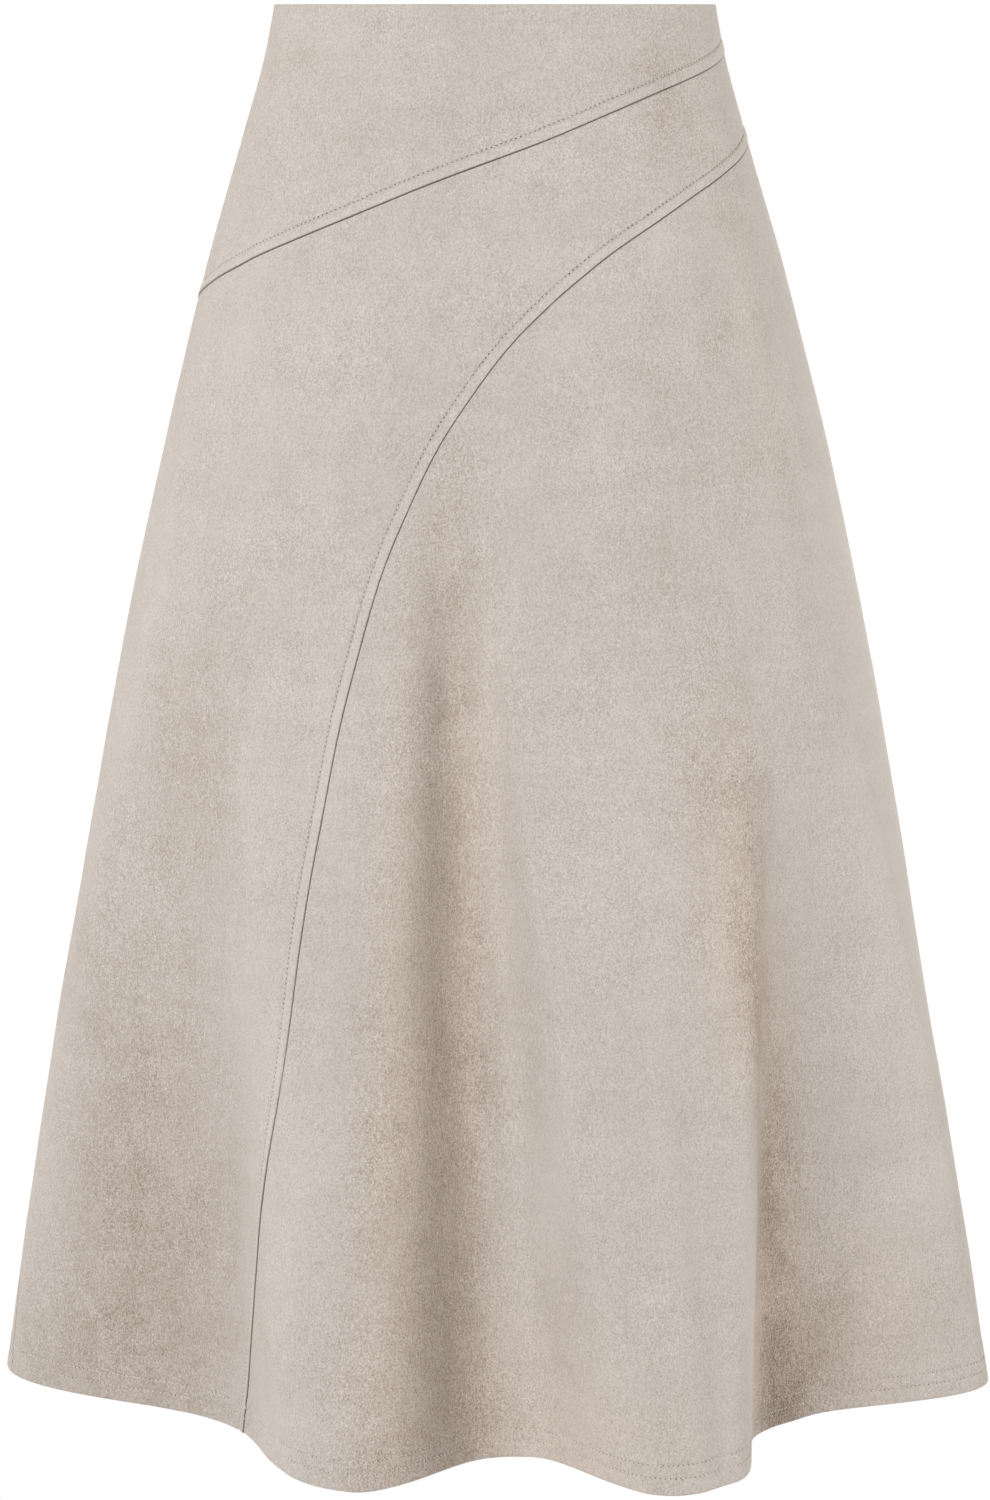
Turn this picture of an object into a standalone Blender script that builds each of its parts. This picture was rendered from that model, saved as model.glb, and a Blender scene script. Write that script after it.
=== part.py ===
"""An A-line skirt in faux suede, as an absent wearer fills it.

The skirt hangs from its waist edge. The origin is the centre of the waist opening, +Z is up and
the front faces -Y. Right and left are as seen from the front, so right is at +X, the wearer's
left. Four pieces are sewn together: a back, and a front of three parts that two sweeping seams
divide. Metres and degrees throughout.

One surface serves every piece. A point on it has an angle, measured round the body from the
middle of the front towards +X, and a drop, measured down from the waist edge. Rounded levels
give the smooth cone from waist to hem, and folds sink into that cone as the flare falls.
"""

from collections import namedtuple
from math import cos, degrees, hypot, pi, radians, sin, sqrt

import bpy
from mathutils import Vector

# ---------------------------------------------------------------- driving dimensions
LENGTH = 0.800          # waist edge to hem, straight down
WALL = 0.0016           # one layer of bonded suede
HEM_WALL = 0.0030       # two layers, where the hem is turned up
HEM_TURN = 0.022        # height of the turned hem
TURN_STEP = 0.002       # height over which the wall grows to two layers
SEAM_GAP = 0.0003       # space left between two pieces at a seam
SIDE = 90.0             # angle of the side seams, right and left

FOLD_SOFTNESS = 0.04    # how gradually a fold begins, as a share of its own length
FOLD_RISE = 0.85        # below 1, a fold deepens faster near its start than near the hem
FOLD_NARROW = 0.42      # a fold's width where it begins, as a share of its width at the hem

# Half width and the reach to the front and to the back, at each drop below the waist.
Level = namedtuple("Level", "drop half_width front back")
LEVELS = (
    Level(0.000, 0.1235, 0.092, 0.090),
    Level(0.025, 0.1283, 0.096, 0.096),
    Level(0.075, 0.1422, 0.106, 0.112),
    Level(0.145, 0.1628, 0.118, 0.129),
    Level(0.220, 0.1825, 0.129, 0.142),
    Level(0.330, 0.2075, 0.145, 0.157),
    Level(0.560, 0.2505, 0.179, 0.188),
    Level(LENGTH, 0.2920, 0.213, 0.220),
)

# A fold sinks in between two angles and is deepest at its bottom. It starts at a drop and
# deepens down to the hem, and where it starts its bottom leans aside by an angle. The two
# squares say how steep its first and its last side are: 1 is a soft wave, more is steeper.
# A fold with a depth below zero stands out as a ridge.
Fold = namedtuple("Fold", "first bottom last lean depth start first_square last_square")
FOLDS = (
    Fold(-94, -64, -20.3, 2, 0.0855, 0.36, 1.2, 1.1),
    Fold(-21, 4, 22.6, -13, 0.066, 0.25, 1.47, 1.75),
    Fold(19, 26.5, 35, 0, -0.0095, 0.40, 1.2, 1.2),
    Fold(33.5, 65, 87, -2, 0.0775, 0.38, 1.6, 1.25),
    Fold(93, 118, 143, 5, 0.070, 0.35, 1.5, 1.5),
    Fold(148, 177, 203, -8, 0.064, 0.32, 1.5, 1.3),
    Fold(208, 238, 265, -6, 0.076, 0.34, 1.3, 1.5),
)

# The seam under the yoke, from the right side seam to the left one.
Mark = namedtuple("Mark", "angle drop")
YOKE_SEAM = (
    Mark(SIDE, 0.0245),
    Mark(52, 0.0460),
    Mark(16, 0.0717),
    Mark(-22, 0.0987),
    Mark(-60, 0.1340),
    Mark(-SIDE, 0.1655),
)

# The seam that sweeps from the right side seam over the front and down to the hem.
SWEEP_SEAM = (
    Mark(SIDE, 0.072),
    Mark(64, 0.094),
    Mark(36, 0.126),
    Mark(9, 0.170),
    Mark(-8.2, 0.217),
    Mark(-21.7, 0.283),
    Mark(-29.3, 0.363),
    Mark(-33.4, 0.458),
    Mark(-36.7, 0.580),
    Mark(-43.6, 0.682),
    Mark(-53.2, LENGTH),
)

# How finely each piece is divided.
YOKE_COLUMNS = 16       # along the yoke seam
YOKE_ROWS = 5           # waist edge to yoke seam
SWEEP_ROWS = 36         # along the sweeping seam
SWEEP_CROWDING = 1.5    # above 1, the rows crowd towards the top, where the seam bends most
MIDDLE_COLUMNS = 14     # across the middle front
LOWER_COLUMNS = 44      # across the lower front
BACK_COLUMNS = 44       # side seam to side seam
BACK_ROWS = 20          # waist edge to hem
TIP_DROP = 0.0015       # how far below its meeting point the lower front's tip is blunted
NUDGE = 0.2             # angle moved either way, to find how a line runs at a point
DROP_NUDGE = 0.001      # drop moved either way, likewise
CREASE_ANGLE = 50.0     # faces that meet more sharply than this are shaded apart

SUEDE_ROUGHNESS = 0.9
SUEDE = {
    "front_yoke": (0.590, 0.530, 0.475),
    "front_middle": (0.560, 0.500, 0.445),
    "front_lower": (0.530, 0.468, 0.412),
    "back": (0.500, 0.440, 0.385),
}


# ---------------------------------------------------------------- the skirt's surface
def spline(x, xs, ys):
    """A smooth curve through the points (xs, ys), read at x."""
    spans = [b - a for a, b in zip(xs, xs[1:])]
    slopes = [(b - a) / span for a, b, span in zip(ys, ys[1:], spans)]
    tangents = [slopes[0]]
    for before, after, left, right in zip(slopes, slopes[1:], spans, spans[1:]):
        tangents.append((before * right + after * left) / (left + right))
    tangents.append(slopes[-1])
    i = 0
    while i < len(spans) - 1 and x > xs[i + 1]:
        i += 1
    t = (x - xs[i]) / spans[i]
    return ((1 + 2 * t) * (1 - t) ** 2 * ys[i] + t * (1 - t) ** 2 * spans[i] * tangents[i]
            + t * t * (3 - 2 * t) * ys[i + 1] + t * t * (t - 1) * spans[i] * tangents[i + 1])


def level_at(drop):
    """The half width, front reach and back reach at a drop."""
    drops = [level.drop for level in LEVELS]
    return [spline(drop, drops, [getattr(level, name) for level in LEVELS])
            for name in ("half_width", "front", "back")]


def fold_growth(share):
    """How far a fold has grown at a share of its length, from 0 where it starts to 1."""
    whole = sqrt(1 + FOLD_SOFTNESS ** 2) - FOLD_SOFTNESS
    return ((sqrt(share ** 2 + FOLD_SOFTNESS ** 2) - FOLD_SOFTNESS) / whole) ** FOLD_RISE


def fold_depth(fold, angle, drop):
    """How far a fold sinks in at one point."""
    share = min(max((drop - fold.start) / (LENGTH - fold.start), 0.0), 1.0)
    growth = fold_growth(share)
    width = FOLD_NARROW + (1 - FOLD_NARROW) * growth
    away = (angle - fold.bottom - fold.lean * (1 - share) + 180) % 360 - 180
    reach = fold.bottom - fold.first if away < 0 else fold.last - fold.bottom
    square = fold.first_square if away < 0 else fold.last_square
    across = min(abs(away) / (reach * width), 1.0)
    return fold.depth * growth * cos(pi / 2 * across ** square) ** 2


def radius(angle, drop):
    """The distance from the skirt's axis to its outer face."""
    half_width, front, back = level_at(drop)
    across, ahead = sin(radians(angle)), cos(radians(angle))
    depth = front if ahead > 0 else back
    cone = 1 / hypot(across / half_width, ahead / depth)
    return cone - sum(fold_depth(fold, angle, drop) for fold in FOLDS)


def outer_point(angle, drop):
    """The point of the outer face at an angle and a drop."""
    reach = radius(angle, drop)
    return Vector((reach * sin(radians(angle)), -reach * cos(radians(angle)), -drop))


def wall_at(drop):
    """The thickness of the cloth at a drop."""
    turned = (drop - (LENGTH - HEM_TURN - TURN_STEP)) / TURN_STEP
    return WALL + (HEM_WALL - WALL) * min(max(turned, 0.0), 1.0)


def inner_point(angle, drop):
    """The point of the inner face behind outer_point, one wall away along the level normal."""
    along = outer_point(angle + NUDGE, drop) - outer_point(angle - NUDGE, drop)
    inward = Vector((-along.y, along.x, 0)).normalized()
    return outer_point(angle, drop) + inward * wall_at(drop)


# ---------------------------------------------------------------- edges of the pieces
def aside(angle, drop, distance):
    """An angle moved round the body by a distance in metres."""
    return Mark(angle + degrees(distance / radius(angle, drop)), drop)


def side_edge(angle, drops, distance):
    """The edge of a piece along a side seam."""
    return [aside(angle, drop, distance) for drop in drops]


def yoke_drop(angle):
    """The drop of the yoke seam at an angle."""
    marks = YOKE_SEAM[::-1]
    return spline(angle, [mark.angle for mark in marks], [mark.drop for mark in marks])


def yoke_edge(distance):
    """The yoke seam from right to left, as the edge of a piece some distance below it."""
    inset = degrees(SEAM_GAP / 2 / radius(SIDE, 0))
    angles = [(SIDE - inset) * (1 - 2 * i / YOKE_COLUMNS) for i in range(YOKE_COLUMNS + 1)]
    edge = []
    for angle in angles:
        drop = yoke_drop(angle)
        rise = yoke_drop(angle + NUDGE) - yoke_drop(angle - NUDGE)
        slope = rise / (radians(2 * NUDGE) * radius(angle, drop))
        edge.append(Mark(angle, drop + distance * hypot(1, slope)))
    return edge


def sweep_angle(drop):
    """The angle of the sweeping seam at a drop."""
    return spline(drop, [mark.drop for mark in SWEEP_SEAM], [mark.angle for mark in SWEEP_SEAM])


def sweep_edge(drops, distance):
    """The sweeping seam, as the edge of a piece some distance to the right of it."""
    edge = []
    for drop in drops:
        angle = sweep_angle(drop)
        turned = sweep_angle(drop + DROP_NUDGE) - sweep_angle(drop - DROP_NUDGE)
        slope = radians(turned) * radius(angle, drop) / (2 * DROP_NUDGE)
        edge.append(aside(angle, drop, distance * hypot(1, slope)))
    return edge


def drops_to_hem(top, rows, crowding=1.0):
    """Drops from a top to the hem, with a row at each end of the step above the turned hem."""
    turn = LENGTH - HEM_TURN
    above = [top + (turn - TURN_STEP - top) * (i / rows) ** crowding for i in range(rows + 1)]
    return above + [turn, LENGTH]


# ---------------------------------------------------------------- pieces
def suede(name):
    """The cloth of one piece."""
    material = bpy.data.materials.new("suede_" + name)
    material.use_nodes = True
    shader = material.node_tree.nodes["Principled BSDF"]
    shader.inputs["Base Color"].default_value = (*SUEDE[name], 1)
    shader.inputs["Roughness"].default_value = SUEDE_ROUGHNESS
    shader.inputs["Metallic"].default_value = 0.0
    return material


def piece(name, start_edge, end_edge, columns):
    """A closed wall of cloth between two edges that have as many points as each other.

    Seen from outside, the end edge lies to the left of the way that the start edge runs.
    """
    rows = len(start_edge)
    outer, inner = [], []
    for start, end in zip(start_edge, end_edge):
        for i in range(columns + 1):
            angle = start.angle + (end.angle - start.angle) * i / columns
            drop = start.drop + (end.drop - start.drop) * i / columns
            outer.append(outer_point(angle, drop))
            inner.append(inner_point(angle, drop))

    across = columns + 1
    total = rows * across
    faces = []
    for row in range(rows - 1):
        for i in range(columns):
            a = row * across + i
            b = a + across
            faces.append((a, b, b + 1, a + 1))
            faces.append((total + a, total + a + 1, total + b + 1, total + b))

    rim = list(range(across))
    rim += [row * across + columns for row in range(1, rows)]
    rim += [(rows - 1) * across + i for i in range(columns - 1, -1, -1)]
    rim += [row * across for row in range(rows - 2, 0, -1)]
    for a, b in zip(rim, rim[1:] + rim[:1]):
        faces.append((a, b, total + b, total + a))

    mesh = bpy.data.meshes.new(name)
    mesh.from_pydata(outer + inner, [], faces)
    mesh.shade_smooth()
    mesh.set_sharp_from_angle(angle=radians(CREASE_ANGLE))
    mesh.materials.append(suede(name))
    skirt_piece = bpy.data.objects.new(name, mesh)
    bpy.context.collection.objects.link(skirt_piece)
    return skirt_piece


def front_yoke():
    """The top of the front, from the waist edge to the yoke seam."""
    seam = yoke_edge(-SEAM_GAP / 2)
    waist = [Mark(mark.angle, 0.0) for mark in seam]
    return piece("front_yoke", waist, seam, YOKE_ROWS)


def front_middle():
    """The curved part of the front: under the yoke, and down the left side to the hem."""
    inner_drops = drops_to_hem(SWEEP_SEAM[0].drop, SWEEP_ROWS, SWEEP_CROWDING)
    seam = yoke_edge(SEAM_GAP / 2)
    side_drops = drops_to_hem(seam[-1].drop, SWEEP_ROWS - YOKE_COLUMNS)[1:]
    outer_edge = seam + side_edge(-SIDE, side_drops, SEAM_GAP / 2)
    inner_edge = sweep_edge(inner_drops, -SEAM_GAP / 2)
    inner_edge[0] = aside(SIDE, inner_drops[0], -SEAM_GAP / 2)
    return piece("front_middle", outer_edge, inner_edge, MIDDLE_COLUMNS)


def front_lower():
    """The flared part of the front, right of the sweeping seam."""
    drops = drops_to_hem(SWEEP_SEAM[0].drop, SWEEP_ROWS, SWEEP_CROWDING)
    drops[0] += TIP_DROP
    seam = sweep_edge(drops, SEAM_GAP / 2)
    side = side_edge(SIDE, drops, -SEAM_GAP / 2)
    return piece("front_lower", seam, side, LOWER_COLUMNS)


def back():
    """The whole back, from side seam to side seam."""
    drops = drops_to_hem(0.0, BACK_ROWS)
    right = side_edge(SIDE, drops, SEAM_GAP / 2)
    left = side_edge(360 - SIDE, drops, -SEAM_GAP / 2)
    return piece("back", right, left, BACK_COLUMNS)


def main():
    for old in list(bpy.data.objects):
        bpy.data.objects.remove(old, do_unlink=True)
    front_yoke()
    front_middle()
    front_lower()
    back()


main()
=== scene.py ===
"""Looks of the A-line skirt: faux suede panels, pressed seams, topstitching and a turned hem.

Metres throughout, angles in degrees. An angle is measured round the body from the middle of the
front (-Y) towards +X, and a drop is measured down from the waist edge.
"""

from collections import namedtuple

import bpy
import numpy as np
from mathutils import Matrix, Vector


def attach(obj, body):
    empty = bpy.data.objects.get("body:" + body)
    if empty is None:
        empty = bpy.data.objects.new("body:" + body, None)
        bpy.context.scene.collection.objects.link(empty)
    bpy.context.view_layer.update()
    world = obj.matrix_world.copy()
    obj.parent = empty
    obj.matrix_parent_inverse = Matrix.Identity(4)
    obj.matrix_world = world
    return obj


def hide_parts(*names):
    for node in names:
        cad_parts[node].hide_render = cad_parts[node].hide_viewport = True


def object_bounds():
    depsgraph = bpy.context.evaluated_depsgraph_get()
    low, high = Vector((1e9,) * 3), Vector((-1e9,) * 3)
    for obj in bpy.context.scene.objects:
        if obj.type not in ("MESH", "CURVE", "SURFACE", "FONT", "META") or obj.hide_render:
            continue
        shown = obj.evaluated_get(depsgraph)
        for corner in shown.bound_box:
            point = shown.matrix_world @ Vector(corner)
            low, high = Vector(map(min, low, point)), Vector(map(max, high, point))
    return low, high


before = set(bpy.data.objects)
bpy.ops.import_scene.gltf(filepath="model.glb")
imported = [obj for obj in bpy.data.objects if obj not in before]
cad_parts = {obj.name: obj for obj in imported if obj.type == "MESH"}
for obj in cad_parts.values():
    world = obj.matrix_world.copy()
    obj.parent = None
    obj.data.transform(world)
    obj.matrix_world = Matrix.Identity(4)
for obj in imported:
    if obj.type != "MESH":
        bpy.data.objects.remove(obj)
cad_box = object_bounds()
MM = 0.001

# ---------------------------------------------------------------- the skirt's own sizes
LENGTH = -cad_box[0][2]     # waist edge to hem
SIDE = 90.0                 # angle of the side seams
HALF_GAP = 0.15 * MM        # from a seam's line to the cloth on either side
TIP_CUT = 1.2 * MM          # how far below its tip the lower front starts

WALL = 1.5 * MM             # one layer of bonded suede
HEM_TURN = 22 * MM          # height of the turned hem
ALLOWANCE = 10 * MM         # width of the seam allowances inside

# Half width, and the reach to the front and to the back, at each drop.
Level = namedtuple("Level", "drop half_width front back")
LEVELS = (
    Level(0.000, 0.1235, 0.092, 0.090),
    Level(0.025, 0.1283, 0.096, 0.096),
    Level(0.075, 0.1422, 0.106, 0.112),
    Level(0.145, 0.1628, 0.118, 0.129),
    Level(0.220, 0.1825, 0.129, 0.142),
    Level(0.330, 0.2075, 0.145, 0.157),
    Level(0.560, 0.2505, 0.179, 0.188),
    Level(0.800, 0.2920, 0.213, 0.220),
)

FOLD_SOFTNESS = 0.04        # how gradually a fold begins, as a share of its own length
FOLD_RISE = 0.85            # below 1, a fold deepens faster near its start than near the hem
FOLD_NARROW = 0.42          # a fold's width where it begins, as a share of that at the hem
# A fold's angles at the hem, the degrees by which its bottom leans on the way up, its depth at
# the hem (a ridge's is below zero), the drop where it starts, and how square either side is.
Fold = namedtuple("Fold", "first bottom last lean depth start first_square last_square")
FOLDS = (
    Fold(-94, -64, -20.3, 2, 0.0855, 0.36, 1.2, 1.1),
    Fold(-21, 4, 22.6, -13, 0.066, 0.25, 1.47, 1.75),
    Fold(19, 26.5, 35, 0, -0.0095, 0.40, 1.2, 1.2),
    Fold(33.5, 65, 87, -2, 0.0775, 0.38, 1.6, 1.25),
    Fold(93, 118, 143, 5, 0.070, 0.35, 1.5, 1.5),
    Fold(148, 177, 203, -8, 0.064, 0.32, 1.5, 1.3),
    Fold(208, 238, 265, -6, 0.076, 0.34, 1.3, 1.5),
)

# The two seam lines over the front: the yoke's from left to right, the sweeping one downwards.
Mark = namedtuple("Mark", "angle drop")
YOKE_SEAM = (
    Mark(-SIDE, 0.1655),
    Mark(-60, 0.1340),
    Mark(-22, 0.0987),
    Mark(16, 0.0717),
    Mark(52, 0.0460),
    Mark(SIDE, 0.0245),
)
SWEEP_SEAM = (
    Mark(SIDE, 0.072),
    Mark(64, 0.094),
    Mark(36, 0.126),
    Mark(9, 0.170),
    Mark(-8.2, 0.217),
    Mark(-21.7, 0.283),
    Mark(-29.3, 0.363),
    Mark(-33.4, 0.458),
    Mark(-36.7, 0.580),
    Mark(-43.6, 0.682),
    Mark(-53.2, 0.800),
)

# Soft troughs (depth above zero) and ridges in the cloth, each upright between two drops.
Crease = namedtuple("Crease", "angle top bottom spread depth")
CREASES = (
    Crease(-66, 0.22, 0.44, 9, 1.6 * MM),
    Crease(-21, 0.42, 0.80, 8, 3.5 * MM),
    Crease(-52, 0.10, 0.33, 12, -1.2 * MM),
    Crease(-83, 0.50, 0.80, 5, 2.0 * MM),
    Crease(-66, 0.55, 0.78, 4, -1.5 * MM),
    Crease(33, 0.12, 0.36, 11, -1.4 * MM),
    Crease(56, 0.16, 0.50, 9, 2.0 * MM),
    Crease(11, 0.48, 0.80, 6, -1.4 * MM),
    Crease(72, 0.52, 0.80, 6, -1.6 * MM),
    Crease(104, 0.20, 0.46, 9, 1.8 * MM),
    Crease(131, 0.14, 0.40, 12, -1.4 * MM),
    Crease(160, 0.24, 0.62, 7, 1.6 * MM),
    Crease(186, 0.50, 0.80, 6, -1.5 * MM),
    Crease(214, 0.20, 0.48, 10, 1.8 * MM),
    Crease(245, 0.52, 0.80, 5, 1.7 * MM),
)

# Slight unevenness of the hanging cloth: waves round the body and down it, none at the waist
# edge and full from a drop of WAVE_FULL.
WAVE_FULL = 0.15
Wave = namedtuple("Wave", "around down phase height")
WAVES = (
    Wave(7, 9.0, 0.4, 0.35 * MM),
    Wave(-11, 14.0, 2.1, 0.30 * MM),
    Wave(17, -23.0, 4.0, 0.22 * MM),
    Wave(-26, 31.0, 1.2, 0.16 * MM),
    Wave(38, 52.0, 5.3, 0.10 * MM),
    Wave(-57, 76.0, 3.3, 0.07 * MM),
)

# ---------------------------------------------------------------- seams and stitches
SEAM_ROLL = 0.7 * MM        # radius with which the cloth turns in at a seam
YOKE_STITCH = 6.7 * MM      # from the yoke seam to its topstitching
SWEEP_STITCH = 5.8 * MM     # from the sweeping seam to its topstitching
WELT_HEIGHT = 0.55 * MM     # how far the allowances raise the cloth above a pressed seam
STITCH_SINK = 0.35 * MM     # how far a row of stitches pulls the cloth in
STITCH_SPREAD = 1.1 * MM    # half the width of the trough that it draws
STITCH_PITCH = 2.8 * MM     # from one stitch to the next
STITCH_LENGTH = 2.15 * MM
THREAD_RADIUS = 0.26 * MM
SEAM_HOLE = 0.58 * MM       # radius of the hole between two stitches beside a seam
HEM_HOLE = 0.3 * MM         # and in the hem
HOLE_CHANGE = 0.25          # by how much of itself that radius changes along a row
HEM_ROWS = (9.5 * MM, 16.5 * MM)    # heights of the hem's rows of stitches
HEM_PUFF = 0.25 * MM        # how far the hem's second layer raises the cloth
HEM_STEP = 0.7 * MM         # how softly that second layer ends outside
PUCKER = 0.16 * MM          # ripples that the hem's stitches draw in the cloth
PUCKER_REACH = 9 * MM       # how far above and below the upper row they spread
EDGE_ROLL = 0.7 * MM        # radius of the folded waist edge
HEM_ROLL = 1.4 * MM         # radius of the folded hem edge
CUT_STEP = 0.12 * MM        # how softly a second layer's cut edge ends inside
PRESSED = 0.8               # an allowance's thickness as a share of the wall's, after pressing

# The ripples along the hem, which wander to and fro as they go round the body.
Ripple = namedtuple("Ripple", "around up wander wander_around phase share")
RIPPLES = (
    Ripple(131, 420, 3, 9, 0, 1.0),
    Ripple(87, -310, 2, 14, 1, 0.8),
)

# The painted shadow line that each seam shows: how wide it is on either side, and how dark.
SeamLook = namedtuple("SeamLook", "reach darkness")
SIDE_LOOK = SeamLook(0.6 * MM, 0.6)
# the faint painted shadow along each row of topstitching
STITCH_LOOK = SeamLook(0.8 * MM, 0.28)
PRESSED_REACH = 0.55 * MM   # that width at the two pressed seams
# How dark their painted shadow line is at each drop. It is fainter where they sit tighter: the
# yoke seam at its high end, and the sweeping seam in its middle.
Fade = namedtuple("Fade", "drop darkness")
YOKE_FADES = (
    Fade(0.025, 0.10),
    Fade(0.036, 0.50),
    Fade(0.045, 0.60),
    Fade(0.072, 0.68),
    Fade(0.084, 0.95),
    Fade(0.100, 0.66),
    Fade(0.166, 0.66),
)
SWEEP_FADES = (
    Fade(0.07, 0.60),
    Fade(0.14, 0.55),
    Fade(0.22, 0.18),
    Fade(0.30, 0.0),
    Fade(0.58, 0.0),
    Fade(0.65, 0.90),
    Fade(0.80, 0.85),
)

# Patches that look darker (tone below zero) or lighter: painted shade, most of it in the hollows
# of the folds, painted highlight along crests and down the right side, and places where the nap
# lies another way. They fade out over some degrees before and after their angle, and over some
# height.
Patch = namedtuple("Patch", "angle drop before after half_drop tone")
SHADING_AND_NAP_PATCHES = (
    Patch(-73, 0.72, 14, 32, 0.32, -0.095),
    Patch(-62, 0.42, 14, 18, 0.13, -0.05),
    Patch(-86, 0.79, 10, 12, 0.10, -0.06),
    Patch(-74, 0.05, 18, 20, 0.10, -0.025),
    Patch(-33, 0.42, 8, 8, 0.14, 0.02),
    # painted shade in the hollow of the left front fold
    Patch(-12, 0.36, 12, 14, 0.19, -0.05),
    Patch(-21, 0.60, 6, 8, 0.20, -0.04),
    Patch(-3, 0.60, 6, 8, 0.16, -0.03),
    Patch(-14, 0.79, 24, 24, 0.14, -0.05),
    Patch(38, 0.30, 14, 16, 0.16, -0.03),
    Patch(48, 0.20, 24, 22, 0.08, -0.02),
    Patch(54, 0.05, 22, 12, 0.07, -0.05),
    # painted highlights
    Patch(11, 0.63, 5, 4, 0.09, 0.045),
    Patch(16, 0.76, 5, 5, 0.12, 0.02),
    Patch(42, 0.73, 5, 5, 0.17, 0.06),
    # painted shade in the hollow of the right front fold
    Patch(38, 0.44, 8, 7, 0.10, -0.03),
    Patch(47, 0.40, 8, 10, 0.08, -0.035),
    Patch(48, 0.51, 9, 10, 0.12, -0.09),
    Patch(50, 0.64, 9, 12, 0.14, -0.12),
    Patch(59, 0.65, 10, 11, 0.11, -0.08),
    Patch(60, 0.785, 13, 16, 0.11, -0.18),
    # painted highlight down the right side
    Patch(87, 0.36, 22, 20, 0.50, 0.085),
    Patch(118, 0.66, 16, 22, 0.24, -0.09),
    Patch(150, 0.30, 18, 16, 0.14, -0.03),
    Patch(174, 0.40, 20, 24, 0.16, 0.025),
    Patch(205, 0.62, 14, 20, 0.24, -0.08),
    Patch(240, 0.74, 16, 14, 0.14, -0.07),
)
# Places painted warmer: the glow of light that the cloth across a fold throws onto its shaded
# side, painted on, and the front near the hem. Their tone is that warmth.
GLOWS = (
    Patch(-11, 0.58, 16, 16, 0.40, 0.45),
    Patch(-4, 0.80, 10, 12, 0.12, 0.2),
    Patch(54, 0.72, 8, 16, 0.20, 0.6),
    Patch(44, 0.50, 14, 16, 0.18, 0.25),
    Patch(56, 0.55, 18, 12, 0.10, 0.22),
    Patch(12, 0.80, 46, 44, 0.16, 0.16),
    Patch(66, 0.16, 18, 14, 0.34, 0.13),
    Patch(72, 0.76, 16, 14, 0.14, 0.25),
    Patch(112, 0.70, 10, 14, 0.20, 0.15),
    Patch(184, 0.68, 14, 12, 0.22, 0.15),
    Patch(232, 0.70, 12, 12, 0.20, 0.15),
)
STRIP_HIGHLIGHT = 0.023          # painted highlight: the raised, pressed strip beside a topstitched seam is a little lighter

# Distances from an edge at which the cloth has a row of points, in millimetres.
PLAIN_EDGE = np.array((0, 0.06, 0.2, 0.42, 0.7, 1.1, 1.8, 3, 5, 8, 9.7, 10.3)) * MM
WELT_NEAR = np.array((0, 0.06, 0.2, 0.42, 0.7, 1.1, 1.8, 2.8, 3.8)) * MM
WELT_ROW = np.array((-1.3, -0.8, -0.4, 0, 0.4, 0.8, 1.4)) * MM     # either side of the stitches
WELT_FAR = np.array((9.0, 9.7, 10.3, 12)) * MM
WAIST_EDGE = np.array((0, 0.06, 0.22, 0.47, 0.75, 1.3, 2.4, 4.2, 7)) * MM
HEM_EDGE = np.array((0, 0.1, 0.4, 0.85, 1.4, 2.4, 3.8, 5.4, 6.9, 8.0, 8.8, 9.5, 10.2, 11.0,
                     12.2, 13.6, 14.8, 15.8, 16.5, 17.2, 18.2, 19.6, 21.2, 21.8, 22.4, 23.4,
                     25.6, 29)) * MM

CORNER = np.array((0, 1.5)) * MM    # the first of these alone leaves an edge as it is
LEAST_LEAN = 0.2            # sine of the smallest angle reckoned with between a row and an edge
MOST_EDGE = 0.45            # the share of a row that the columns near one edge may take
ROW_SAMPLES = 241           # points at which the length of a row is measured
LINE_SAMPLES = 2001         # and that of a seam

YOKE_SHAPE = (110, 34)      # rows, and columns in the plain middle
YOKE_PART = 44              # rows of the middle panel that start at the yoke seam
SIDE_PART = 92              # rows that start at the side seam
MIDDLE_COLUMNS = 70
LOWER_SHAPE = (132, 170)
BACK_SHAPE = (132, 200)

# The size that each piece of cloth is cut to, with hem and allowances, and its area in m2.
Cut = namedtuple("Cut", "width length area")


# ---------------------------------------------------------------- the skirt's surface
def spline(x, xs, ys):
    """A smooth curve through the points (xs, ys), read at every x."""
    xs, ys = np.asarray(xs, float), np.asarray(ys, float)
    spans = np.diff(xs)
    slopes = np.diff(ys) / spans
    tangents = np.concatenate((slopes[:1], slopes, slopes[-1:]))[:len(xs)]
    tangents[1:-1] = (slopes[:-1] * spans[1:] + slopes[1:] * spans[:-1]) / (spans[:-1] + spans[1:])
    tangents[-1] = slopes[-1]
    i = np.clip(np.searchsorted(xs, x) - 1, 0, len(spans) - 1)
    t = (x - xs[i]) / spans[i]
    return ((1 + 2 * t) * (1 - t) ** 2 * ys[i] + t * (1 - t) ** 2 * spans[i] * tangents[i]
            + t * t * (3 - 2 * t) * ys[i + 1] + t * t * (t - 1) * spans[i] * tangents[i + 1])


def away_from(angle, middle):
    """Angles counted from a middle one, between -180 and 180."""
    return (angle - middle + 180) % 360 - 180


def bump(share):
    """1 at the middle, falling smoothly to 0 where the share reaches 1."""
    return np.cos(np.pi / 2 * np.clip(np.abs(share), 0, 1)) ** 2


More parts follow.
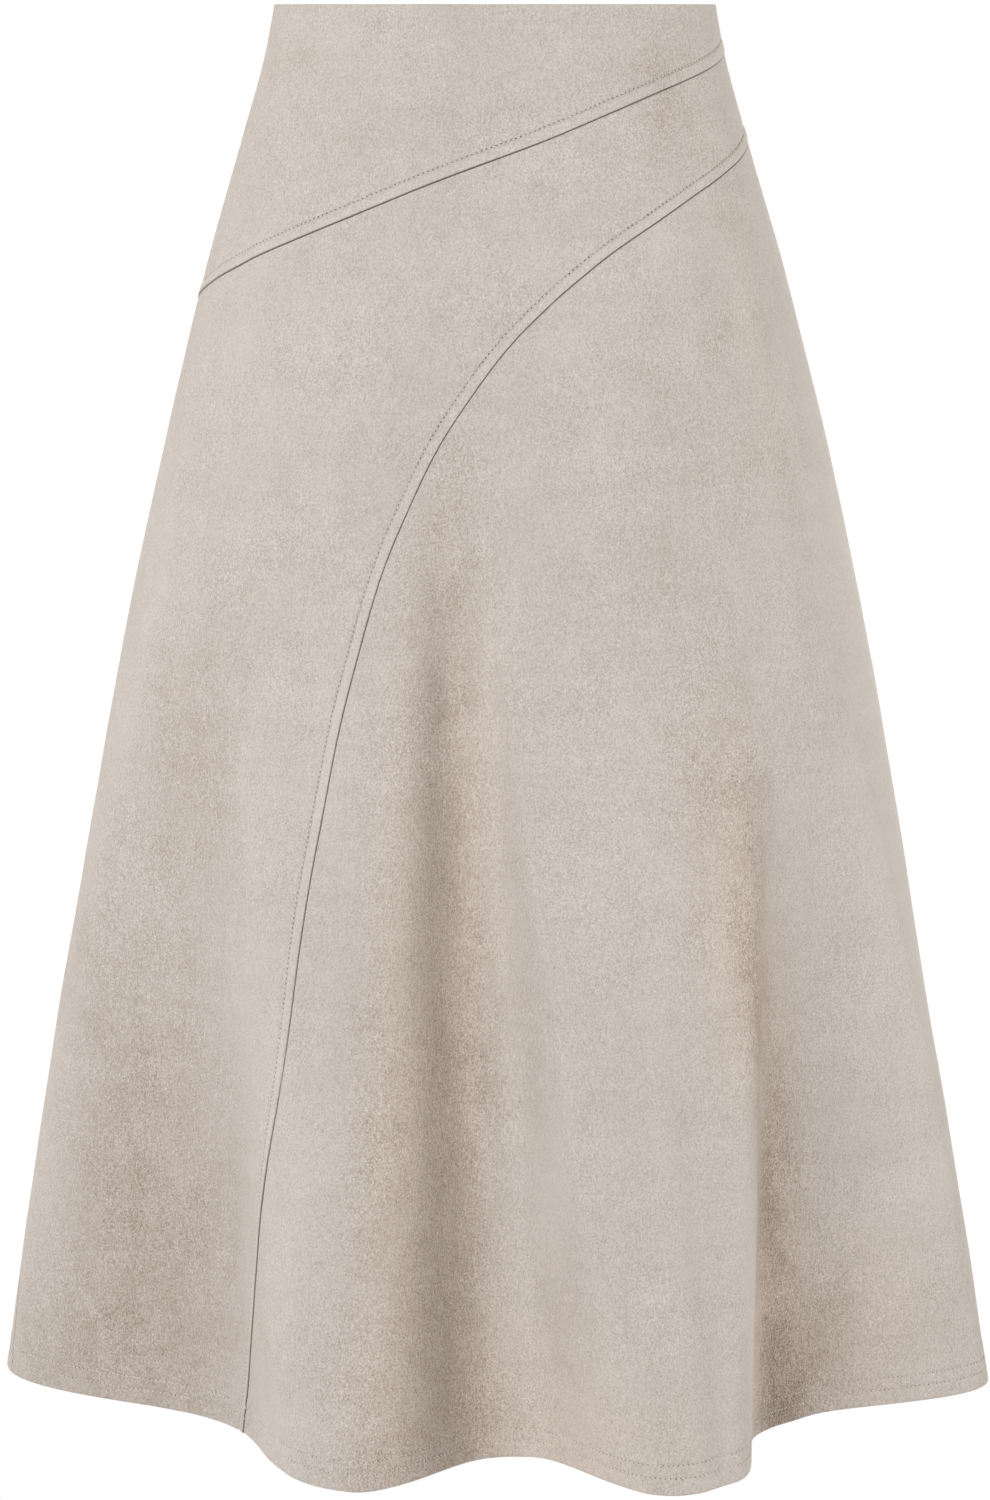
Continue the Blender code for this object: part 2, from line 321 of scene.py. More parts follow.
def fold_depth(fold, angle, drop):
    """How far a fold sinks in."""
    share = np.clip((drop - fold.start) / (LENGTH - fold.start), 0, 1)
    whole = np.sqrt(1 + FOLD_SOFTNESS ** 2) - FOLD_SOFTNESS
    growth = ((np.sqrt(share ** 2 + FOLD_SOFTNESS ** 2) - FOLD_SOFTNESS) / whole) ** FOLD_RISE
    width = FOLD_NARROW + (1 - FOLD_NARROW) * growth
    away = away_from(angle, fold.bottom + fold.lean * (1 - share))
    reach = np.where(away < 0, fold.bottom - fold.first, fold.last - fold.bottom)
    square = np.where(away < 0, fold.first_square, fold.last_square)
    across = np.clip(np.abs(away) / (reach * width), 0, 1)
    return fold.depth * growth * bump(across ** square)


def crease_depth(crease, angle, drop):
    """How far a soft crease sinks in. It fades out at both ends, unless one is at the hem."""
    half = (crease.bottom - crease.top) / 2
    along = (drop - crease.top - half) / half
    if crease.bottom >= LENGTH:
        along = np.minimum(along, 0)
    return crease.depth * bump(along) * bump(away_from(angle, crease.angle) / crease.spread)


def radius(angle, drop):
    """The distance from the skirt's axis to its face."""
    drops = [level.drop for level in LEVELS]
    half_width, front, back = (spline(drop, drops, [getattr(level, name) for level in LEVELS])
                               for name in ("half_width", "front", "back"))
    turn = np.radians(angle)
    depth = np.where(np.cos(turn) > 0, front, back)
    reach = 1 / np.hypot(np.sin(turn) / half_width, np.cos(turn) / depth)
    for fold in FOLDS:
        reach = reach - fold_depth(fold, angle, drop)
    for crease in CREASES:
        reach = reach - crease_depth(crease, angle, drop)
    growth = np.clip(drop / WAVE_FULL, 0, 1)
    for wave in WAVES:
        reach = reach + growth * wave.height * np.sin(
            wave.around * turn + wave.down * drop + wave.phase)
    return reach


def point(angle, drop):
    """Points of the face."""
    turn, reach = np.radians(angle), radius(angle, drop)
    return np.stack((reach * np.sin(turn), -reach * np.cos(turn), -drop + 0 * reach), -1)


def unit(vectors):
    """The same directions, one long."""
    return vectors / np.linalg.norm(vectors, axis=-1, keepdims=True)


def outward(angle, drop):
    """The face's outward normals."""
    small_angle, small_drop = 0.15, 0.0004
    along = point(angle + small_angle, drop) - point(angle - small_angle, drop)
    down = point(angle, drop + small_drop) - point(angle, drop - small_drop)
    return unit(np.cross(down, along))


# ---------------------------------------------------------------- seams as edges of the panels
def yoke_drop(angle):
    """The drop of the yoke seam at an angle."""
    return spline(angle, [mark.angle for mark in YOKE_SEAM], [mark.drop for mark in YOKE_SEAM])


def sweep_angle(drop):
    """The angle of the sweeping seam at a drop."""
    return spline(drop, [mark.drop for mark in SWEEP_SEAM], [mark.angle for mark in SWEEP_SEAM])


def aside(angle, drop, distance):
    """Angles moved round the body by a distance."""
    return angle + np.degrees(distance / radius(angle, drop))


def yoke_line(angle, below):
    """The drop of a line that runs some distance below the yoke seam."""
    drop, small = yoke_drop(angle), 0.2
    rise = yoke_drop(angle + small) - yoke_drop(angle - small)
    return drop + below * np.hypot(1, rise / (np.radians(2 * small) * radius(angle, drop)))


def sweep_line(drop, right):
    """The angle of a line that runs some distance to the right of the sweeping seam."""
    angle, small = sweep_angle(drop), 0.001
    turned = np.radians(sweep_angle(drop + small) - sweep_angle(drop - small))
    return aside(angle, drop, right * np.hypot(1, turned * radius(angle, drop) / (2 * small)))


def lengths_along(points):
    """The length of a line of points up to each of them."""
    return np.concatenate(([0], np.cumsum(np.linalg.norm(np.diff(points, axis=0), axis=1))))


def crowd(low, high, count, low_edge, high_edge):
    """Numbers from low to high, even but for the given distances from either end."""
    middle = np.linspace(low + low_edge[-1], high - high_edge[-1], count)
    return np.concatenate((low + low_edge[:-1], middle, high - high_edge[:-1][::-1]))


def walk(curve, low, high, count, low_edge, high_edge):
    """Parameters from low to high, set as by crowd but along the length of curve(parameter)."""
    fine = np.linspace(low, high, LINE_SAMPLES)
    walked = lengths_along(curve(fine))
    return np.interp(crowd(0, walked[-1], count, low_edge, high_edge), walked, fine)


Net = namedtuple("Net", "angle drop from_start from_end")


def net(start, end, start_edge, end_edge, columns):
    """A grid of points between two edges, each a row of angles and a row of drops.

    start_edge and end_edge give the distances from either edge at which there are columns.
    """
    fine = np.linspace(0, 1, ROW_SAMPLES)
    start_points, end_points = point(*start), point(*end)
    start_run, end_run = (np.gradient(points, axis=0) for points in (start_points, end_points))
    rows = []
    for i in range(len(start[0])):
        angle = start[0][i] + (end[0][i] - start[0][i]) * fine
        drop = start[1][i] + (end[1][i] - start[1][i]) * fine
        path = point(angle, drop)
        walked = lengths_along(path)
        lean_start, lean_end = (
            max(np.linalg.norm(np.cross(unit(run), unit(step))), LEAST_LEAN)
            for run, step in ((start_run[i], path[1] - path[0]), (end_run[i], path[-1] - path[-2])))
        most = MOST_EDGE * walked[-1]
        from_start = start_edge * min(1 / lean_start, most / start_edge[-1])
        from_end = end_edge * min(1 / lean_end, most / end_edge[-1])
        middle = np.linspace(from_start[-1], walked[-1] - from_end[-1], columns)
        along = np.concatenate((from_start[:-1], middle, walked[-1] - from_end[:-1][::-1]))
        rows.append((np.interp(along, walked, angle), np.interp(along, walked, drop),
                     along * lean_start, (walked[-1] - along) * lean_end))
    return Net(*(np.array(field) for field in zip(*rows)))


# ---------------------------------------------------------------- relief on the cloth
def roll(distance, turn):
    """How far a rounded edge falls back at a distance from it."""
    inside = np.clip(1 - distance / turn, 0, 1)
    return -turn * (1 - np.sqrt(1 - inside ** 2))


def dent(distance, line):
    """The shallow trough that a row of stitches draws."""
    return -STITCH_SINK * np.exp(-((distance - line) / STITCH_SPREAD) ** 2)


def welt_edge(line):
    """Where the cloth has rows of points beside a seam whose topstitching runs on a line."""
    return np.concatenate((WELT_NEAR, line + WELT_ROW, WELT_FAR))


def welt(distance, line):
    """The raised strip between a pressed seam and its topstitching."""
    rounded = 1 - np.clip(distance / line, 0, 1) ** 3
    return WELT_HEIGHT * rounded + dent(distance, line)


def strip(distance, line):
    """1 on the pressed strip, and 0 away from it, with soft edges."""
    near, before, soft = 1 * MM, 0.6 * MM, 0.3 * MM
    return np.clip(distance / near, 0, 1) * step_down(distance, line - before, soft)


def shade(*seams):
    """How dark the painted shadow is beside its seams, each a set of distances and a seam's look.
    """
    return np.maximum.reduce([look.darkness * np.clip(1 - distance / look.reach, 0, 1)
                              for distance, look in seams])


def stitch_shadow(distance, line):
    """The faint painted shadow along a row of topstitching beside a seam."""
    return np.abs(distance - line), STITCH_LOOK


def pressed_look(cloth, fades):
    """The painted shadow line of a pressed seam at every point's height."""
    drops, darknesses = zip(*fades)
    return SeamLook(PRESSED_REACH, np.interp(cloth.drop, drops, darknesses))


def patches(cloth, naps):
    """The tones of soft patches, added up."""
    tone = 0 * cloth.drop
    for nap in naps:
        away = away_from(cloth.angle, nap.angle)
        reach = np.where(away < 0, nap.before, nap.after)
        tone = tone + nap.tone * bump(away / reach) * bump((cloth.drop - nap.drop) / nap.half_drop)
    return tone


def marks_of(cloth, seams, strips=0):
    """What the material reads at every point of a panel: painted seam shadow, painted warm glow,
    and painted shading with some nap patches.
    """
    return {"seam_shade": shade(*seams), "warmth": patches(cloth, GLOWS),
            "painted_shading_and_nap": patches(cloth, SHADING_AND_NAP_PATCHES) + STRIP_HIGHLIGHT * strips}


def step_down(distance, edge, soft):
    """1 nearer than an edge, 0 beyond it, with a soft step."""
    return 1 / (1 + np.exp((distance - edge) / soft))


def hem_relief(angle, drop):
    """The turned hem: a second layer, two dents of stitching and the ripples they draw."""
    above = LENGTH - drop
    relief = HEM_PUFF * step_down(above, HEM_TURN, HEM_STEP)
    for line in HEM_ROWS:
        relief = relief + dent(above, line)
    turn = np.radians(angle)
    ripples = 0
    for ripple in RIPPLES:
        wander = ripple.wander * np.sin(ripple.wander_around * turn + ripple.phase)
        ripples = ripples + ripple.share * np.sin(ripple.around * turn + ripple.up * above + wander)
    reach = np.exp(-((above - HEM_ROWS[1]) / PUCKER_REACH) ** 2)
    patchy = 0.6 + 0.4 * np.sin(5 * turn + 2 * np.sin(3 * turn))    # stronger here and there
    return relief + PUCKER * ripples * reach * patchy


# ---------------------------------------------------------------- meshes
def link_mesh(name, vertices, faces, material):
    """A smooth object made from an array of vertices and a list of faces."""
    mesh = bpy.data.meshes.new(name)
    mesh.from_pydata(vertices.tolist(), [], faces)
    mesh.validate()
    mesh.shade_smooth()
    mesh.materials.append(material)
    made = bpy.data.objects.new(name, mesh)
    bpy.context.collection.objects.link(made)
    return made


def grid_faces(rows, columns, first=0, flip=False):
    """The quads of a grid whose points are numbered row by row from the first."""
    row, column = np.meshgrid(np.arange(rows - 1), np.arange(columns - 1), indexing="ij")
    a = (first + row * columns + column).ravel()
    quads = np.stack((a, a + columns, a + columns + 1, a + 1), -1)
    return quads[:, ::-1] if flip else quads


def panel(name, cloth, marks, rise, inner_rise, material):
    """A closed shell of cloth: a face with its relief, and an inner face one wall behind it.

    marks are values for the material to read at every point, by their names.
    """
    base, normal = point(cloth.angle, cloth.drop), outward(cloth.angle, cloth.drop)
    outer = base + normal * rise[..., None]
    inner = base - normal * (WALL + inner_rise)[..., None]
    rows, columns = cloth.angle.shape
    total = rows * columns
    rim = np.concatenate((np.arange(columns), np.arange(1, rows) * columns + columns - 1,
                          (rows - 1) * columns + np.arange(columns - 2, -1, -1),
                          np.arange(rows - 2, 0, -1) * columns))
    after = np.roll(rim, -1)
    faces = np.concatenate((grid_faces(rows, columns), grid_faces(rows, columns, total, True),
                            np.stack((rim, after, total + after, total + rim), -1)))
    vertices = np.concatenate((outer.reshape(-1, 3), inner.reshape(-1, 3)))
    made = link_mesh(name, vertices, faces.tolist(), material)
    for mark, values in marks.items():
        layer = made.data.attributes.new(mark, "FLOAT", "POINT")
        layer.data.foreach_set("value", np.tile(values.ravel(), 2).astype(np.float32))
    return made


def side_distance(cloth):
    """Distances to the nearer side seam, round the body."""
    off = np.minimum(np.abs(away_from(cloth.angle, SIDE)), np.abs(away_from(cloth.angle, -SIDE)))
    return np.radians(off) * radius(cloth.angle, cloth.drop)


def yoke_distance(cloth):
    """Distances to the yoke seam, above or below it."""
    below = yoke_line(cloth.angle, 1 * MM) - yoke_drop(cloth.angle)
    return np.abs(cloth.drop - yoke_drop(cloth.angle)) / below * MM


def side_limits():
    """The angles at which the front's pieces end, about half a gap short of the side seams."""
    drop = LEVELS[2].drop
    return aside(-SIDE, drop, HALF_GAP), aside(SIDE, drop, -HALF_GAP)


def layers_inside(*distances):
    """The allowances turned back inside, as a second layer along each seam given."""
    nearest = np.minimum.reduce(distances)
    return PRESSED * WALL * step_down(nearest, ALLOWANCE, CUT_STEP)


def hem_inside(drop):
    """The hem's second layer, inside."""
    return WALL * step_down(LENGTH - drop, HEM_TURN, CUT_STEP)


def front_yoke(material):
    """The yoke, from the waist edge down to its topstitched seam, in rows from right to left."""
    seam_sides = np.degrees(PLAIN_EDGE / LEVELS[1].half_width)
    low, high = side_limits()
    angles = crowd(low, high, YOKE_SHAPE[0], seam_sides, seam_sides)[::-1]
    cloth = net((angles, 0 * angles), (angles, yoke_line(angles, -HALF_GAP)),
                WAIST_EDGE, welt_edge(YOKE_STITCH), YOKE_SHAPE[1])
    side = side_distance(cloth)
    rise = (roll(np.minimum(cloth.from_end, side), SEAM_ROLL)
            + welt(cloth.from_end, YOKE_STITCH) + roll(cloth.from_start, EDGE_ROLL))
    inside = layers_inside(cloth.from_end) + roll(cloth.from_start, EDGE_ROLL)
    marks = marks_of(cloth, ((cloth.from_end, pressed_look(cloth, YOKE_FADES)),
                             (side, SIDE_LOOK), stitch_shadow(cloth.from_end, YOKE_STITCH)),
                     strip(cloth.from_end, YOKE_STITCH))
    return panel("yoke_cloth", cloth, marks, rise, inside, material)


def front_middle(material):
    """The middle front, from the yoke seam and the left side seam to the sweeping seam."""
    low, high = side_limits()
    seam_angles = walk(lambda a: point(a, yoke_drop(a)), high, low, YOKE_PART, PLAIN_EDGE, CORNER)
    corner = yoke_line(low, HALF_GAP)
    side_drops = crowd(corner, LENGTH, SIDE_PART, CORNER, HEM_EDGE)[1:]
    outer_angle = np.concatenate((seam_angles, aside(-SIDE, side_drops, HALF_GAP)))
    outer_drop = np.concatenate((yoke_line(seam_angles, HALF_GAP), side_drops))
    hem_lines = len(HEM_EDGE) - 1
    body = walk(lambda d: point(sweep_angle(d), d), SWEEP_SEAM[0].drop, LENGTH - HEM_EDGE[-1],
                len(outer_drop) - hem_lines - len(PLAIN_EDGE) + 1, PLAIN_EDGE, CORNER[:1])
    inner_drop = np.concatenate((body, outer_drop[-hem_lines:]))
    inner_angle = np.minimum(sweep_line(inner_drop, -HALF_GAP), high)
    cloth = net((outer_angle, outer_drop), (inner_angle, inner_drop),
                PLAIN_EDGE, welt_edge(SWEEP_STITCH), MIDDLE_COLUMNS)
    side = side_distance(cloth)
    seam = np.minimum.reduce((cloth.from_start, cloth.from_end, side))
    above = LENGTH - cloth.drop
    rise = (roll(seam, SEAM_ROLL) + welt(cloth.from_end, SWEEP_STITCH) + roll(above, HEM_ROLL)
            + hem_relief(cloth.angle, cloth.drop))
    inside = (np.maximum(layers_inside(cloth.from_end), hem_inside(cloth.drop))
              + roll(above, HEM_ROLL))
    marks = marks_of(cloth, ((cloth.from_end, pressed_look(cloth, SWEEP_FADES)),
                             (yoke_distance(cloth), pressed_look(cloth, YOKE_FADES)),
                             (side, SIDE_LOOK), stitch_shadow(cloth.from_end, SWEEP_STITCH)),
                     strip(cloth.from_end, SWEEP_STITCH))
    return panel("middle_cloth", cloth, marks, rise, inside, material)


def front_lower(material):
    """The flared lower front, from the sweeping seam to the right side seam."""
    tip = SWEEP_SEAM[0].drop + TIP_CUT
    body = walk(lambda d: point(sweep_angle(d), d), tip, LENGTH - HEM_EDGE[-1],
                LOWER_SHAPE[0], CORNER[:1], CORNER[:1])
    drops = np.concatenate((body, LENGTH - HEM_EDGE[:-1][::-1]))
    cloth = net((sweep_line(drops, HALF_GAP), drops), (aside(SIDE, drops, -HALF_GAP), drops),
                PLAIN_EDGE, PLAIN_EDGE, LOWER_SHAPE[1])
    seam = np.minimum(cloth.from_start, cloth.from_end)
    above = LENGTH - cloth.drop
    rise = roll(seam, SEAM_ROLL) + roll(above, HEM_ROLL) + hem_relief(cloth.angle, cloth.drop)
    inside = hem_inside(cloth.drop) + roll(above, HEM_ROLL)
    marks = marks_of(cloth, ((cloth.from_start, pressed_look(cloth, SWEEP_FADES)),
                             (cloth.from_end, SIDE_LOOK)))
    return panel("lower_cloth", cloth, marks, rise, inside, material)


def back(material):
    """The back, from side seam to side seam."""
    drops = crowd(0, LENGTH, BACK_SHAPE[0], WAIST_EDGE, HEM_EDGE)
    cloth = net((aside(SIDE, drops, HALF_GAP), drops), (aside(360 - SIDE, drops, -HALF_GAP), drops),
                PLAIN_EDGE, PLAIN_EDGE, BACK_SHAPE[1])
    seam = np.minimum(cloth.from_start, cloth.from_end)
    above = LENGTH - cloth.drop
    edges = roll(above, HEM_ROLL) + roll(cloth.drop, EDGE_ROLL)
    rise = roll(seam, SEAM_ROLL) + edges + hem_relief(cloth.angle, cloth.drop)
    inside = np.maximum(layers_inside(seam), hem_inside(cloth.drop)) + edges
    marks = marks_of(cloth, ((seam, SIDE_LOOK),))
    return panel("back_cloth", cloth, marks, rise, inside, material)


# ---------------------------------------------------------------- thread
THREAD_SIDES = 6
# Rings of thread along a stitch: a share of its length from its middle, and how high the ring
# arches and how thick it is, as shares of the thread's radius.
Ring = namedtuple("Ring", "share arch thickness")
STITCH = (
    Ring(-0.5, -1.6, 0.55),
    Ring(-0.38, 0.1, 0.95),
    Ring(0.0, 0.75, 1.1),
    Ring(0.38, 0.1, 0.95),
    Ring(0.5, -1.6, 0.55),
)
HOLE_SIDES = 7
HOLE_RIM = 0.09 * MM        # how high the rim of a needle hole lies above its row
HOLE_DENT = 0.05 * MM       # how far below the row the middle of its dark face lies
HOLE_BOTTOM = 0.5 * MM      # and the point in which it ends
ROW_END = 0.6               # degrees between a row's end and the side seam
HEM_END = 2.5 * MM          # from a row's end to the hem
ROW_POINTS = {"yoke": 900, "sweep": 1400, "hem": 2400}      # along each row of stitches
THREAD_POINTS = {"yoke": 260, "sweep": 420, "side": 300}    # and along the thread in each seam
SEAM_THREAD_RADIUS = 0.45 * MM
SEAM_THREAD_SINK = 1.1 * MM     # how deep it lies in the seam
SEAM_THREAD_END = 1.5 * MM      # from its ends to the waist edge and the hem


def tube(centres, up, across, thickness):
    """Vertices and faces of rings round a line of centres, closed at both ends."""
    sides = THREAD_SIDES
    turns = np.linspace(0, 2 * np.pi, sides, endpoint=False)
    ring = (np.cos(turns)[None, :, None] * up[:, None, :]
            + np.sin(turns)[None, :, None] * across[:, None, :])
    vertices = (centres[:, None, :] + ring * thickness[:, None, None]).reshape(-1, 3)
    faces = []
    for i in range(len(centres) - 1):
        for k in range(sides):
            a, b = i * sides + k, i * sides + (k + 1) % sides
            faces.append((a, b, b + sides, a + sides))
    last = len(vertices)
    return vertices, faces + [tuple(range(sides))[::-1], tuple(range(last - sides, last))]


def run_along(angle, drop, rise):
    """A line on the cloth: its points, the cloth's normals there, and its length so far."""
    normal = outward(angle, drop)
    line = point(angle, drop) + normal * rise
    return line, normal, lengths_along(line)


def read_along(at, walked, values):
    """Points or normals of a line, read at lengths along it."""
    return np.stack([np.interp(at, walked, values[:, axis]) for axis in range(3)], -1)


def gathered(groups):
    """Several groups of vertices and faces as one."""
    vertices, faces, first = [], [], 0
    for group_vertices, group_faces in groups:
        vertices.append(group_vertices)
        faces.extend(tuple(first + i for i in face) for face in group_faces)
        first += len(group_vertices)
    return np.concatenate(vertices), faces


def stitches(angle, drop, rise):
    """Vertices and faces of separate stitches along a line on the cloth."""
    line, normal, walked = run_along(angle, drop, rise)
    shares, arch, thickness = (np.array(column) for column in zip(*STITCH))
    count = int(walked[-1] / STITCH_PITCH)
    groups = []
    for middle in (np.arange(count) + 0.5) * walked[-1] / count:
        at = middle + shares * STITCH_LENGTH
        centres, up = read_along(at, walked, line), unit(read_along(at, walked, normal))
        across = unit(np.cross(up, unit(centres[-1] - centres[0])))
        arched = centres + up * (arch * THREAD_RADIUS)[:, None]
        groups.append(tube(arched, up, across, thickness * THREAD_RADIUS))
    return gathered(groups)


def needle_holes(angle, drop, rise, hole):
    """Vertices and faces of small dark pits between the stitches along a line: painted shadow in
    the needle holes.
    """
    line, normal, walked = run_along(angle, drop, rise)
    count = int(walked[-1] / STITCH_PITCH)
    at = np.arange(1, count) * walked[-1] / count
    centres, up = read_along(at, walked, line), unit(read_along(at, walked, normal))
    slanted = np.array((0.3, 0.2, 1.0))
    run = unit(np.cross(up, slanted))
    across = np.cross(up, run)
    turns = np.linspace(0, 2 * np.pi, HOLE_SIDES, endpoint=False)[None, :, None]
    uneven = HOLE_CHANGE * np.sin(at * 37) * np.sin(at * 83 + 1)
    size = hole * (1 + uneven)[:, None, None]
    rim = (centres[:, None] + up[:, None] * HOLE_RIM
           + size * (np.cos(turns) * run[:, None] + np.sin(turns) * across[:, None]))
    ends = np.stack((centres - up * HOLE_DENT, centres - up * HOLE_BOTTOM), 1)
    vertices = np.concatenate((rim, ends), 1)
    here, after = np.arange(HOLE_SIDES), (np.arange(HOLE_SIDES) + 1) % HOLE_SIDES
    one = np.concatenate((np.stack((here, after, np.full_like(here, HOLE_SIDES)), -1),
                          np.stack((after, here, np.full_like(here, HOLE_SIDES + 1)), -1)))
    faces = one[None] + (np.arange(len(at)) * (HOLE_SIDES + 2))[:, None, None]
    return vertices.reshape(-1, 3), faces.reshape(-1, 3).tolist()


def sweep_drops(count):
    """Drops along the whole sweeping seam, evenly spaced on it."""
    return walk(lambda d: point(sweep_angle(d), d), SWEEP_SEAM[0].drop, LENGTH, count,
                CORNER[:1], CORNER[:1])


def seam_rows():
    """The two rows of topstitching beside the pressed seams: angles, drops and rise."""
    angles = np.linspace(ROW_END - SIDE, SIDE - ROW_END, ROW_POINTS["yoke"])
    drops = sweep_drops(ROW_POINTS["sweep"])
    beside = sweep_line(drops, -SWEEP_STITCH)
    on_cloth = (beside < SIDE - ROW_END) & (drops < LENGTH - HEM_END)
    return [(angles, yoke_line(angles, -YOKE_STITCH), -STITCH_SINK),
            (beside[on_cloth], drops[on_cloth], -STITCH_SINK)]


def hem_rows():
    """The two rows of stitching round the hem: angles, drops and rise."""
    angles = np.linspace(-180, 180, ROW_POINTS["hem"])
    return [(angles, np.full_like(angles, LENGTH - above), HEM_PUFF - STITCH_SINK)
            for above in HEM_ROWS]


def seam_threads():
    """Vertices and faces of the dark thread at the bottom of each seam, which also stands in as its
    painted shadow.
    """
    angles = np.linspace(-SIDE, SIDE, THREAD_POINTS["yoke"])
    drops = sweep_drops(THREAD_POINTS["sweep"])
    lowest = LENGTH - SEAM_THREAD_END
    down = np.linspace(SEAM_THREAD_END, lowest, THREAD_POINTS["side"])
    lines = [(angles, yoke_drop(angles)), (sweep_angle(drops), drops),
             (np.full_like(down, SIDE), down), (np.full_like(down, -SIDE), down)]
    groups = []
    for angle, drop in lines:
        line, normal, _ = run_along(angle, np.minimum(drop, lowest), -SEAM_THREAD_SINK)
        across = unit(np.cross(normal, unit(np.gradient(line, axis=0))))
        groups.append(tube(line, normal, across, np.full(len(line), SEAM_THREAD_RADIUS)))
    return gathered(groups)


# ---------------------------------------------------------------- materials
DISPLAY_GAMMA = 2.2         # how much faster a colour changes in light than on a display
NOISE_SPAN = (0.3, 0.7)     # between these lies most of a noise
NOISE_CORE = (0.35, 0.65)   # and between these its middle

# The textures of the suede: how many times wider than high its marks are, about how many come
# to a metre, their octaves and roughness, and the tone that they add or take away.
Texture = namedtuple("Texture", "flatness scale detail roughness tone")
BLOTCH = Texture(0.7, 16.0, 4.0, 0.6, 0.03)
MOTTLE = Texture(0.7, 62.0, 3.0, 0.6, 0.05)
WEFT = Texture(6.0, 11.0, 4.0, 0.65, 0.03)
STREAK = Texture(0.35, 640.0, 2.0, 0.55, 0.05)
GRAIN = Texture(0.75, 1200.0, 2.0, 0.5, 0.18)

# How lively the fine textures are: patches of more and less, more where the painted shading and
# nap are dark or in a fold's painted warm glow, and no more than a limit.
LIVELY_SCALE = 22.0
LIVELY = (0.8, 1.2)
LIVELY_DARK = 2.5
LIVELY_WARM = 1.2
LIVELY_LIMIT = 2.0


def srgb(red, green, blue):
    """A colour given in 0-255 display values."""
    shares = np.array((red, green, blue)) / 255
    linear = np.where(shares <= 0.04045, shares / 12.92, ((shares + 0.055) / 1.055) ** 2.4)
    return (*linear.tolist(), 1.0)


class Nodes:
    """A short way to write a material's nodes."""

    def __init__(self, name):
        self.material = bpy.data.materials.new(name)
        self.material.use_nodes = True
        self.tree = self.material.node_tree
        self.shader = self.tree.nodes["Principled BSDF"]

    def add(self, kind, inputs=None, **settings):
        node = self.tree.nodes.new(kind)
        for key, value in settings.items():
            setattr(node, key, value)
        for key, value in (inputs or {}).items():
            self.set(node.inputs[key], value)
        return node

    def set(self, socket, value):
        if isinstance(value, bpy.types.NodeSocket):
            self.tree.links.new(value, socket)
        else:
            socket.default_value = value

    def noise(self, vector, scale, detail, roughness=0.5):
        inputs = {"Vector": vector, "Scale": scale, "Detail": detail, "Roughness": roughness}
        return self.add("ShaderNodeTexNoise", inputs).outputs["Fac"]

    def texture(self, vector, kind):
        inputs = {"Vector": vector, "Scale": (1.0, 1.0, kind.flatness)}
        flattened = self.add("ShaderNodeMapping", inputs).outputs["Vector"]
        return self.noise(flattened, kind.scale, kind.detail, kind.roughness)

    def remap(self, value, low, high, to_low, to_high):
        inputs = {"Value": value, "From Min": low, "From Max": high,
                  "To Min": to_low, "To Max": to_high}
        return self.add("ShaderNodeMapRange", inputs).outputs["Result"]

    def math(self, operation, a, b):
        node = self.add("ShaderNodeMath", operation=operation)
        self.set(node.inputs[0], a)
        self.set(node.inputs[1], b)
        return node.outputs["Value"]

    def mix(self, share, a, b, blend="MIX"):
        node = self.add("ShaderNodeMix", data_type="RGBA", blend_type=blend)
        sockets = [socket for socket in node.inputs if socket.enabled]
        for socket, value in zip(sockets, (share, a, b)):
            self.set(socket, value)
        return next(socket for socket in node.outputs if socket.enabled)

    def bump(self, height, strength, distance):
        inputs = {"Height": height, "Strength": strength, "Distance": distance}
        self.set(self.shader.inputs["Normal"],
                 self.add("ShaderNodeBump", inputs).outputs["Normal"])


OATMEAL = srgb(176, 168, 161)
OATMEAL_DEEP = srgb(174, 165, 158)  # the other colour of its mottling
WARM = srgb(183, 165, 150)          # in the painted glow of shaded folds, and in dark marks and painted shade
# painted shadow in and beside the seams and the rows of topstitching
SEAM_SHADE = srgb(92, 80, 70)
NAP_SHEEN = srgb(235, 222, 208)

Thread = namedtuple("Thread", "name colour fineness")
TOPSTITCH = Thread("stitch_thread", srgb(198, 188, 177), 2600.0)
# dark thread in the seams, which also paints their shadow and the needle holes' painted shadow
DARK_THREAD_AND_SHADOW = Thread("seam_thread_and_shadow", srgb(92, 78, 66), 900.0)


